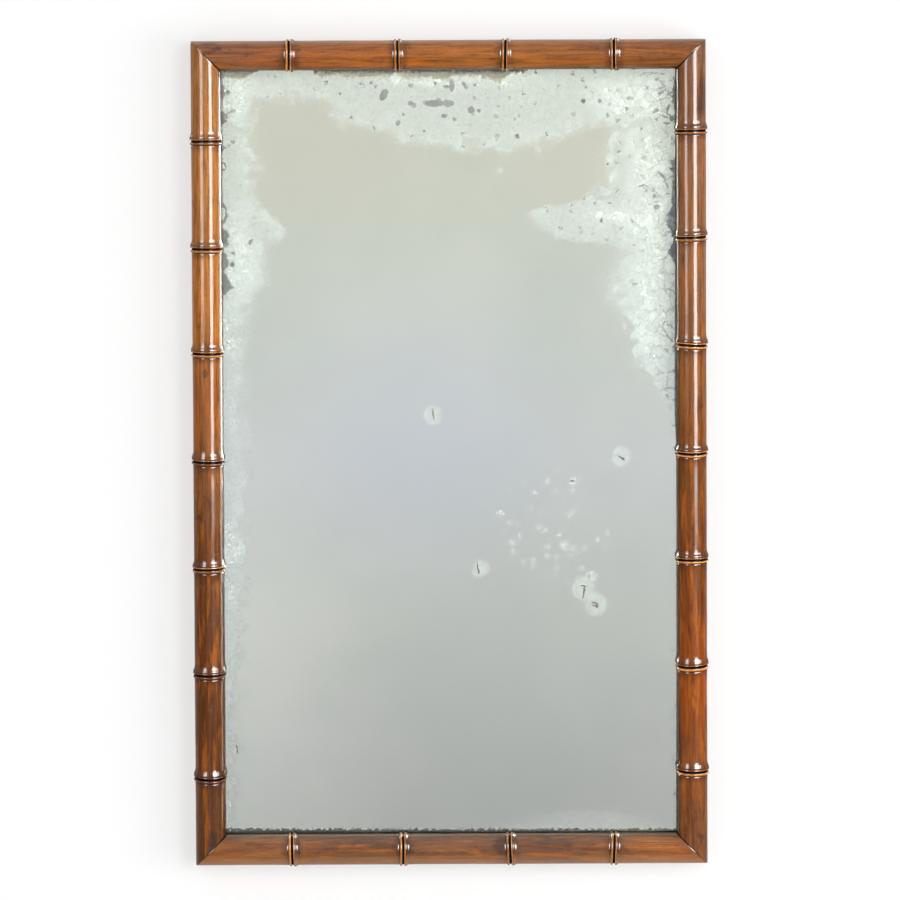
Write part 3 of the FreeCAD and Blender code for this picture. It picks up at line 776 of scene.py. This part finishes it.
HEART_LINES = (
    ((432, 409), (433.6, 418)), ((477, 563), (479, 573)), ((581, 586), (586, 586.4)),
    ((584.8, 587), (582.6, 598)), ((593, 602.6), (596, 603.4)), ((597.6, 604), (596.6, 607.6)),
    ((593, 605), (595, 606.4)), ((619, 456), (623.4, 459)), ((570.6, 480.4), (573.6, 480.4)),
    ((235.6, 747), (236.4, 754)),
)
DOT_CLUSTER = ((560, 522, 140, 130),)
# Pale bloom of the coat: how far it reaches from the top, the left and the right edge
TOP_HAZE = (
    (222, 100), (240, 98), (258, 95), (290, 96), (328, 98), (333, 117), (350, 121), (370, 124),
    (385, 132), (405, 139), (438, 142), (460, 147), (480, 145), (500, 151), (520, 144), (545, 141),
    (560, 134), (580, 128), (600, 122), (625, 128), (680, 135),
)
LEFT_HAZE = (
    (64, 252), (100, 250), (120, 252), (140, 249), (160, 252), (190, 250), (205, 254), (215, 268),
    (228, 282), (238, 274), (248, 264), (262, 262), (285, 260), (300, 250), (312, 243), (330, 240),
    (345, 240), (384, 238), (420, 239), (500, 240), (560, 240), (620, 238), (660, 234), (720, 230),
    (830, 228),
)
RIGHT_HAZE = (
    (64, 630), (100, 625), (125, 622), (140, 612), (155, 608), (175, 608), (188, 604), (196, 590),
    (202, 565), (208, 542), (215, 535), (222, 540), (229, 546), (236, 556), (243, 590), (249, 622),
    (256, 624), (264, 616), (272, 610), (290, 609), (300, 611), (310, 620), (322, 632), (340, 634),
    (352, 638), (368, 641), (380, 654), (392, 664), (404, 672), (420, 678), (440, 684), (830, 684),
)
LOW_HAZE = ((590, 828, 170, 30),)
# Milky, warm and cool places of the coat
MILK = (
    (232, 262, 50, 110), (654, 306, 54, 170), (230, 330, 16, 60), (229, 560, 14, 110),
    (630, 98, 90, 40), (234, 92, 36, 60), (612, 216, 60, 18), (650, 222, 60, 70), (450, 76, 220, 18),
    (650, 160, 50, 70),
)
WARM = ((300, 150, 220, 170), (585, 160, 150, 150))
COOL = ((420, 420, 260, 300),)
# The flaked band under the top rail: right in the photograph, and how far down it reaches
TOP_FLAKES = (
    (221, 7), (232, 7), (236, 9), (240, 10), (244, 9), (250, 5), (255, 2), (262, 0), (312, 0), (316, 4),
    (322, 7), (334, 5), (350, 7.3), (362, 8), (377, 8.5), (386, 6), (394, 3), (404, 6.6), (407.5, 9.8),
    (412, 7), (431, 6.8), (443, 10), (454, 6), (480, 5), (487, 7), (495, 13), (501, 11), (505, 7),
    (510, 3), (530, 1), (545, 0),
)
# The same at the left edge and, bluish, at the right edge: down in the photograph, and how far in
LEFT_FLAKES = (
    (84, 0), (88, 3), (95, 2.6), (102, 0), (111, 0), (113, 3), (117, 4.6), (121, 4), (126, 0), (143, 0),
    (148, 2.4), (153, 0), (227, 0), (233, 4.6), (244, 5.6), (249, 1), (255, 4), (262, 6), (267, 5),
    (271, 1), (278, 5), (284, 9), (286.5, 11), (290, 7), (296, 0),
)
RIGHT_FLAKES = (
    (72, 1), (85, 3), (95, 4), (106, 3), (112, 1), (120, 3), (127, 0), (157, 0), (161, 5.6), (168, 4.6),
    (174, 3), (192, 3.6), (208, 5), (216, 8), (222, 10), (226, 7), (232, 4), (240, 3.4), (248, 6),
    (253, 8), (259, 2), (264, 0),
)

# The edges of the silvering that show inside the frame, in the photograph
EDGE_TOP = 69.6
EDGE_LEFT = 222.6
EDGE_RIGHT = 675.4
EDGE_BOTTOM = 830.0

# Behind this depth, in metres, lies the brown paint on the silvering's back
PAINT_FROM = -0.00761
PAINT_TO = -0.00756


def tremble(s, scale, detail, rough):
    """A small random shift, to make outlines ragged."""
    shift = s.noise(s.at, scale, detail, rough, output="Color", flat=True)
    return s.warp("SUBTRACT", shift, (0.5, 0.5, 0.5))


def cells(s, place, scale, feature="F1"):
    node = s.node("TexVoronoi", voronoi_dimensions="2D", feature=feature)
    s.feed(node.inputs["Vector"], place)
    node.inputs["Scale"].default_value = scale
    return node.outputs


def reach(s, value, stops, far):
    """How far a change reaches at each place along an edge, far at the most."""
    return s.times(s.ramp(value, [(at, level / far) for at, level in stops]), far)


def find_haze(s):
    """The pale coat round three sides, and the milky places in it."""
    x, y, _ = s.parts(s.loose)
    deep = s.largest(s.minus(reach(s, x, TOP_HAZE, 160), y), s.minus(reach(s, y, LEFT_HAZE, 300), x),
                     s.minus(x, reach(s, y, RIGHT_HAZE, 700)))
    low = s.inside(s.loose, LOW_HAZE, 1.3, 0.4, 0, 0.5)
    deep = s.plus(deep, s.times(s.minus(s.mottle, 0.5), 26))
    s.haze = s.largest(s.spans((deep, -13, 9), (s.mottle, 0.3, 0.6, 0.6, 1)), low)
    tide = s.spans((deep, -1, 4), (deep, 13, 4), (s.mottle, 0.4, 0.6, 0, 0.3))
    milk = s.times(s.inside(s.loose, MILK, 1.3, 0.35), s.span(s.mottle, 0.32, 0.64, 0.3, 1))
    s.milk = s.times(s.largest(milk, tide), s.span(s.haze, 0.2, 0.6))


def find_blooms(s):
    """Pale blooms, fainter ones and their fine dots, and dark marks and specks."""
    s.bloom = s.inside(s.crisp, BLOOMS, 1.15, 0.5)
    faint = s.inside(s.crisp, FAINT_BLOOMS, 1.1, 0.3)
    s.veil = s.spans((s.x, 400, 222), (s.y, 420, 680))
    dots = cells(s, s.torn, 0.082)
    gap, size = dots["Distance"], s.parts(dots["Color"])[0]
    cluster = s.inside(s.at, DOT_CLUSTER, 1, 0.7)
    s.faint = s.largest(faint, s.times(cluster, s.spans((gap, 0.32, 0.1), (size, 0.3, 0.8))))
    specks = s.spans((gap, 0.17, 0.1), (size, 0.45, 0.6), (s.haze, 0.5, 0.8), (s.y, 360, 150),
                     (s.x, 250, 300, 0.25, 1))
    s.marks = s.largest(s.inside(s.crisp, TOP_MARKS + SIDE_MARKS, 1.32, 0.95), s.times(specks, 0.85))


def find_cracks(s):
    """Lines, rings, a net of cracks, and the dark hearts of the blooms."""
    ring = s.math("ABSOLUTE", s.minus(s.spots(s.crisp, MARK_RINGS), 0.9))
    s.lines = s.largest(s.inside(s.crisp, cracks(1.9, MARK_LINES), 1.15, 0.6),
                        s.spans((ring, 0.26, 0.14), (s.x, 221.5, 223)))
    web = cells(s, s.webbed, 0.062, "DISTANCE_TO_EDGE")["Distance"]
    net = s.spans((web, 0.07, 0.02), (s.haze, 0.4, 0.7), (s.x, 644, 666), (s.mottle, 0.42, 0.54),
                  (s.y, 70, 90))
    s.fine = s.largest(s.inside(s.crisp, cracks(1.3, CRACK_LINES), 1.2, 0.5), s.times(net, 0.8))
    s.hearts = s.inside(s.crisp, cracks(1.5, HEART_LINES), 1.2, 0.8)


def find_flakes(s):
    """Where the silver has flaked off along the top, the left and the right edge."""
    x, y, _ = s.parts(s.torn)
    s.top_gap = s.minus(y, EDGE_TOP)
    far = reach(s, s.x, TOP_FLAKES, 14)
    rest = s.minus(s.top_gap, far)
    holes = s.times(s.spans((s.patch, 0.52, 0.58), (s.top_gap, 2, 3)), 0.85)
    s.top = s.times(s.spans((rest, 0.4, -0.3), (far, 0.6, 1.6)), s.inverse(holes))
    s.top_rim = s.spans((rest, 2.4, 0.9), (far, 0.6, 1.6))
    far = reach(s, s.y, LEFT_FLAKES, 12)
    s.left = s.spans((s.minus(s.minus(x, EDGE_LEFT), far), 0.4, -0.3), (far, 0.5, 1.5))
    far = reach(s, s.y, RIGHT_FLAKES, 12)
    rest = s.minus(s.minus(EDGE_RIGHT, x), far)
    s.right = s.spans((rest, 0.4, -0.3), (far, 0.5, 1.5))
    s.rim = s.spans((rest, 0.2, -0.6), (rest, -1.6, -0.9), (far, 3, 4.5))
    # The band along the bottom edge, which takes a painted reflection of the rail and a painted shadow.
    s.bottom = s.span(y, EDGE_BOTTOM, EDGE_BOTTOM + 1.4)


def find_sides(s):
    """Painted shadow lines along the plate's left and right edge, in the gap under the frame's lip."""
    left = s.spans((s.x, 223.8, 223), (s.fleck, 0.3, 0.6, 0.25, 0.7))
    start = s.minus(s.x, s.span(s.y, 400, 470, 0, 2.4))
    s.sides = s.largest(left, s.spans((start, 673.9, 674.7), (s.fleck, 0.3, 0.6, 0.7, 1)))


def cloud_silver(s):
    """The silver's own tint, warmer and cooler places in it, and what clouds it."""
    slow = s.noise(s.at, 0.005, 3, 0.5)
    s.colour = s.mix(s.span(slow, 0.3, 0.7), linear(226, 230, 225), linear(235, 237, 231))
    warm = s.inside(s.loose, WARM, 1.3, 0.2, 0, 0.38)
    s.paint(s.times(warm, s.span(s.mottle, 0.3, 0.6, 0.5, 1)), 236, 232, 224)
    s.paint(s.inside(s.loose, COOL, 1.4, 0.2, 0, 0.5), 228, 231, 240)
    s.paint(s.haze, 212, 219, 216)
    s.paint(s.milk, 192, 198, 193)
    worm = s.times(s.largest(s.haze, s.milk), s.span(s.fleck, 0.52, 0.68, 0, 0.2))
    s.paint(worm, 120, 128, 120)
    s.paint(s.bloom, 188, 194, 190)
    s.paint(s.times(s.top_rim, 0.7), 190, 188, 164)


def mark_silver(s):
    """Dark marks and cracks, what shows where the silver has gone, the brown paint behind it, and painted
    shadow and reflection along the bottom and side edges.
    """
    grey = s.mix(s.span(s.fleck, 0.42, 0.58), linear(38, 38, 35), linear(76, 74, 70))
    s.lay(s.times(s.largest(s.marks, s.left), 0.92), grey)
    # Cracks, with painted shade in the crinkles at the top right.
    s.paint(s.times(s.lines, 0.9), 70, 71, 66)
    s.paint(s.times(s.fine, 0.8), 62, 58, 54)
    worn = s.span(s.patch, 0.44, 0.56)
    taupe = s.mix(worn, linear(108, 103, 90), linear(38, 34, 30))
    s.lay(s.top, s.mix(s.span(s.top_gap, 2.6, 1.4), taupe, linear(32, 34, 36)))
    s.lay(s.right, s.mix(worn, linear(56, 65, 76), linear(104, 108, 110)))
    s.paint(s.times(s.rim, 0.7), 40, 40, 40)
    s.paint(s.hearts, 50, 34, 22)
    # Painted reflection of the bottom rail, olive, over a painted black shadow of the gap under its lip.
    s.lay(s.bottom, s.mix(s.span(s.y, 831.4, 833.4), linear(46, 46, 36), linear(18, 17, 14)))
    # Painted shadow of the gap under the frame's lip along the left and right edge.
    s.paint(s.sides, 26, 27, 24)
    s.backing = s.span(s.parts(s.place())[1], PAINT_FROM, PAINT_TO)
    s.paint(s.backing, 70, 52, 46)


def mirroring(s):
    """How much of the silver still mirrors."""
    # Lost silver does not mirror, nor do the painted shadow and reflection along the bottom and side edges.
    lost_or_painted_shade_and_reflection = s.largest(s.backing, s.times(s.marks, 0.95), s.times(s.lines, 0.9), s.times(s.fine, 0.85),
                     s.left, s.top, s.right, s.rim, s.hearts, s.bottom, s.sides)
    pale = s.largest(s.plus(s.times(s.haze, 0.1), s.times(s.milk, 0.24)), s.times(s.veil, 0.035),
                     s.times(s.faint, 0.065), s.times(s.bloom, 0.21), s.times(s.top_rim, 0.3))
    return s.inverse(s.largest(s.times(lost_or_painted_shade_and_reflection, lost_or_painted_shade_and_reflection), pale))


def old_silver():
    """Aged silvering: clean in the middle, hazy, flaked and cracked towards the top and both sides."""
    s = Shader("old_silver", Roughness=0.045)
    s.x, s.y = s.in_photo()
    s.at = s.vector(s.x, s.y)
    wander = tremble(s, 0.045, 2, 0.6)
    ragged = tremble(s, 0.3, 2, 0.65)
    s.loose = s.warp("ADD", s.warp("ADD", s.at, s.scaled(wander, 22)), s.scaled(ragged, 11))
    s.torn = s.warp("ADD", s.at, s.scaled(ragged, 8))
    s.webbed = s.warp("ADD", s.at, s.scaled(ragged, 7))
    s.crisp = s.warp("ADD", s.at, s.scaled(ragged, 3.4))
    s.mottle = s.noise(s.at, 0.11, 4, 0.7, flat=True)
    s.fleck = s.noise(s.at, 0.42, 3, 0.6, flat=True)
    s.patch = s.noise(s.at, 0.2, 3, 0.65, flat=True)
    find_haze(s)
    find_blooms(s)
    find_cracks(s)
    find_flakes(s)
    find_sides(s)
    cloud_silver(s)
    mark_silver(s)
    s.set("Base Color", s.colour)
    s.set("Metallic", mirroring(s))
    return s.material


def silver_sheet(material):
    """The thin coat on the back of the plate."""
    low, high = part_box("silvering")
    front = GLASS_BACK * MM + 0.00003
    back = high.y - 0.00002
    margin = 0.0001
    steps_x = 24
    steps_z = 40
    points = []
    for y in (front, back):
        for j in range(steps_z + 1):
            for i in range(steps_x + 1):
                x = low.x + margin + (high.x - low.x - 2 * margin) * i / steps_x
                z = low.z + margin + (high.z - low.z - 2 * margin) * j / steps_z
                points.append((x, y, z))
    row = steps_x + 1
    layer = row * (steps_z + 1)
    faces = []
    for j in range(steps_z):
        for i in range(steps_x):
            a = j * row + i
            faces.append((a, a + 1, a + row + 1, a + row))
            faces.append((a + layer, a + row + layer, a + row + 1 + layer, a + 1 + layer))
    rim = list(range(steps_x)) + [steps_x + j * row for j in range(steps_z)]
    rim += [steps_z * row + i for i in range(steps_x, 0, -1)] + [j * row for j in range(steps_z, 0, -1)]
    for a, b in zip(rim, rim[1:] + rim[:1]):
        faces.append((a, a + layer, b + layer, b))
    piece = new_piece("silver_coat", points, faces, "frame", material)
    finish_mesh(piece.data, 30)
    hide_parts("silvering")
    return piece


# Materials of the CAD pieces


def plank(name, pale, dark, seed):
    """Rough sawn softwood, with its grain along X."""
    s = Shader(name)
    right, depth, up = s.parts(s.place())
    chance = s.node("ObjectInfo").outputs["Random"]
    offset = s.plus(s.times(chance, 37.0), seed)
    grain = s.noise(s.vector(s.times(right, 2.2), s.times(up, 60.0), offset), 1.0, 5, 0.55, 1.6)
    rings = s.math("FRACT", s.times(grain, 7.0))
    late = s.times(s.span(rings, 0.35, 0.9), s.span(rings, 1.0, 0.93))
    thread = s.vector(s.times(right, 30.0), s.times(up, 1400.0), s.times(depth, 900.0))
    fibre = s.noise(thread, 1.0, 3, 0.6)
    grime = s.noise(s.vector(s.times(right, 6.0), s.times(up, 14.0), offset), 1.0, 4, 0.65)
    s.colour = s.mix(s.times(late, 0.55), linear(*pale), linear(*dark))
    s.paint(s.times(chance, 0.4), 128, 92, 60)
    s.paint(s.span(fibre, 0.45, 0.75, 0.0, 0.35), 84, 62, 42)
    s.paint(s.span(grime, 0.45, 0.75, 0.0, 0.6), 92, 72, 52)
    s.set("Base Color", s.colour)
    s.set("Roughness", s.span(grime, 0.3, 0.7, 0.62, 0.8))
    s.bump(s.plus(s.times(fibre, 0.6), s.times(late, 0.3)), 0.0002)
    return s.material


def old_brass(name, dark):
    """Brass that has dulled to brown, bright where it rubs."""
    s = Shader(name, Metallic=1.0)
    place = s.place()
    tarnish = s.noise(place, 130.0, 3, 0.55)
    s.colour = s.mix(s.span(tarnish, 0.3, 0.7), linear(190, 154, 92), linear(*dark))
    s.paint(s.span(s.noise(place, 900.0, 2, 0.6), 0.64, 0.76, 0.0, 0.4), 70, 54, 36)
    s.set("Base Color", s.colour)
    s.set("Roughness", s.span(tarnish, 0.3, 0.7, 0.28, 0.55))
    s.bump(tarnish, 0.00003)
    return s.material


def old_iron():
    """Dark cut-nail iron with a little rust."""
    s = Shader("old_iron")
    rust = s.noise(s.place(), 700.0, 4, 0.65)
    s.set("Base Color", s.mix(s.span(rust, 0.42, 0.62), linear(74, 70, 68), linear(104, 62, 40)))
    s.set("Metallic", s.span(rust, 0.42, 0.62, 1.0, 0.25))
    s.set("Roughness", s.span(rust, 0.4, 0.6, 0.45, 0.8))
    s.bump(rust, 0.00008)
    return s.material


def dress(start, material):
    """Gives the CAD pieces whose names start so their finish."""
    for name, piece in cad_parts.items():
        if name.startswith(start):
            for holder in piece.material_slots:
                holder.material = material


# Pieces

wood = varnished_wood()
for number, bar in enumerate(BARS):
    build_bar(bar, number, wood)
silver_sheet(old_silver())
dress("mirror_glass", clear_glass())
dress("backboard_nails", old_iron())
pine = plank("pine_board", (176, 136, 92), (124, 84, 50), 0.0)
for n in range(1, 6):
    dress("backboard_%d" % n, pine)
dress("mitre_key", plank("key_wood", (140, 96, 58), (92, 58, 34), 4.0))
dress("packing_blocks", plank("block_wood", (190, 154, 110), (140, 104, 66), 9.0))
dress("hanger_strap", old_brass("strap_brass", (134, 106, 66)))
dress("hanger_ring", old_brass("ring_brass", (146, 116, 70)))
dress("hanger_screws", old_brass("screw_brass", (110, 88, 58)))


# Stage

WALL_Y = 0.0055
WALL_SIDE = 6
WALL_TOP = 6
FLOOR_Z = -1.2
FLOOR_RADIUS = 5.0
FLOOR_STEPS = 96


def stage_material(name, colour, glow):
    """Pale paint that the camera sees from the front as white where no shadow falls."""
    s = Shader(name, Roughness=1.0, Specular_IOR_Level=0.0)
    s.set("Base Color", colour)
    light = s.node("Emission")
    strength = s.times(s.node("LightPath").outputs["Is Camera Ray"], glow)
    s.fed(light, (1.0, 1.0, 1.0), strength)
    both = s.fed(s.node("AddShader"), s.surface.outputs[0], light.outputs[0]).outputs[0]
    behind = s.node("NewGeometry").outputs["Backfacing"]
    clear = s.node("BsdfTransparent").outputs[0]
    side = s.fed(s.node("MixShader"), behind, both, clear)
    s.feed(s.output.inputs["Surface"], side.outputs[0])
    return s.material


def stage_sheet(name, points, material):
    sheet = add_object(name, points, [tuple(range(len(points)))], material)
    return sheet


wall_points = [(-WALL_SIDE, WALL_Y, FLOOR_Z), (WALL_SIDE, WALL_Y, FLOOR_Z),
               (WALL_SIDE, WALL_Y, WALL_TOP), (-WALL_SIDE, WALL_Y, WALL_TOP)]
wall = stage_sheet("wall", wall_points, stage_material("wall_paint", (0.42, 0.42, 0.42), 0.55))
for rays in ("shadow", "diffuse", "glossy", "transmission"):
    setattr(wall, "visible_" + rays, False)
turns = [math.tau * n / FLOOR_STEPS for n in range(FLOOR_STEPS)]
floor_points = [(FLOOR_RADIUS * math.cos(turn), FLOOR_RADIUS * math.sin(turn), FLOOR_Z) for turn in turns]
floor = stage_sheet("floor", floor_points, stage_material("floor_paint", (0.62, 0.62, 0.61), 0.62))
floor.visible_glossy = False

# The room by height of the view: what the plate mirrors in front, and the sides
AHEAD = (
    (-0.16, (0.45, 0.45, 0.45)), (-0.121, (0.53, 0.52, 0.54)), (-0.105, (0.61, 0.60, 0.62)),
    (-0.088, (0.67, 0.665, 0.68)), (-0.063, (0.745, 0.74, 0.80)), (-0.038, (0.77, 0.78, 0.76)),
    (-0.013, (0.785, 0.768, 0.71)), (0.06, (0.72, 0.71, 0.68)),
)
SIDES = (
    (-1, (0.12, 0.10, 0.08)), (-0.32, (0.4, 0.39, 0.37)), (-0.2, (0.42, 0.41, 0.39)),
    (-0.1, (0.22, 0.21, 0.2)), (-0.055, (0.1, 0.095, 0.085)), (0, (0.2, 0.19, 0.18)),
    (0.2, (0.5, 0.49, 0.48)), (1, (1, 1, 1.02)),
)
BEHIND = (0.5, 0.5, 0.51)


def studio_world():
    """White to the camera, and a soft room for everything else."""
    world = bpy.data.worlds.new("studio")
    world.use_nodes = True
    world.node_tree.nodes.clear()
    g = Graph(world.node_tree)
    _, y, z = g.parts(g.node("TexCoord").outputs["Generated"])
    ahead = g.ramp(y, ((-0.985, 1.0), (-0.965, 0.0)))
    room = g.mix(ahead, g.ramp(z, SIDES), g.ramp(z, AHEAD))
    room = g.mix(g.ramp(y, ((0.05, 0.0), (0.3, 1.0))), room, BEHIND)
    unseen = g.fed(g.node("Background"), room).outputs[0]
    white = g.fed(g.node("Background"), (1.0, 1.0, 1.0)).outputs[0]
    choose = g.fed(g.node("MixShader"), g.node("LightPath").outputs["Is Camera Ray"], unseen, white)
    g.feed(g.node("OutputWorld").inputs["Surface"], choose.outputs[0])
    bpy.context.scene.world = world


studio_world()


def lamp(name, place, aim, wide, high, power, without=None):
    """A soft box that the camera doesn't see, in metres and watts.

    Without "glossy" it leaves no highlight, and without "diffuse" it is nothing but a highlight.
    """
    light = bpy.data.lights.new(name, "AREA")
    light.shape = "RECTANGLE"
    light.size = wide
    light.size_y = high
    light.energy = power
    box = bpy.data.objects.new(name, light)
    box.location = place
    box.rotation_euler = (Vector(aim) - Vector(place)).to_track_quat("-Z", "Y").to_euler()
    box.visible_camera = False
    if without:
        setattr(box, "visible_" + without, False)
    bpy.context.scene.collection.objects.link(box)


lamp("key", (2.0, -4.1, 0.86), (0, 0, 0.86), 1.3, 2.3, 55, "glossy")
lamp("second", (-3.0, -3.2, 0.92), (0, 0, 0.92), 1.1, 2.0, 28, "glossy")
lamp("side", (2.6, -1.7, -0.3), (0, 0, -0.1), 1.4, 1.6, 45, "glossy")
lamp("key_sheen", (1.5, -2.25, 0.88), (0, 0, 0.88), 1.1, 2.2, 150, "diffuse")
lamp("second_sheen", (-1.4, -1.85, 0.93), (0, 0, 0.93), 0.85, 1.8, 48, "diffuse")
lamp("key_top", (1.9, -2.1, 1.05), (0, 0, 0.2), 2.6, 1.0, 160, "diffuse")
lamp("second_top", (-1.5, -1.85, 0.95), (0, 0, 0.2), 1.0, 0.7, 16, "diffuse")
lamp("behind_left", (-2.6, 2.2, 1.7), (0, 0, 0), 0.9, 0.9, 26)
lamp("behind_right", (2.2, 3.0, 2.2), (0, 0, 0), 1.4, 1.4, 66)


# Camera

CAMERA_PLACE = Vector((0.0003, -6.0, 0.38))
CAMERA_AIM = Vector((0.0003, 0.0, 0.0474))
PHOTO_SIZE = 0.8985
SENSOR = 36.0
SHIFT_UP = -0.05

data = bpy.data.cameras.new("camera")
camera = bpy.data.objects.new("camera", data)
bpy.context.scene.collection.objects.link(camera)
camera.location = CAMERA_PLACE
look = (CAMERA_AIM - CAMERA_PLACE).normalized()
lean = Matrix.Rotation(-PHOTO_LEAN, 4, "Z")
turned = look.to_track_quat("-Z", "Y").to_matrix().to_4x4() @ lean
camera.rotation_euler = turned.to_euler()
front = Vector((0, -SIDE_DEPTH * MM, 0)) - CAMERA_PLACE
data.sensor_width = SENSOR
data.lens = SENSOR * front.dot(look) / PHOTO_SIZE
data.shift_y = SHIFT_UP
bpy.context.scene.camera = camera

bpy.context.scene.view_settings.view_transform = "Standard"
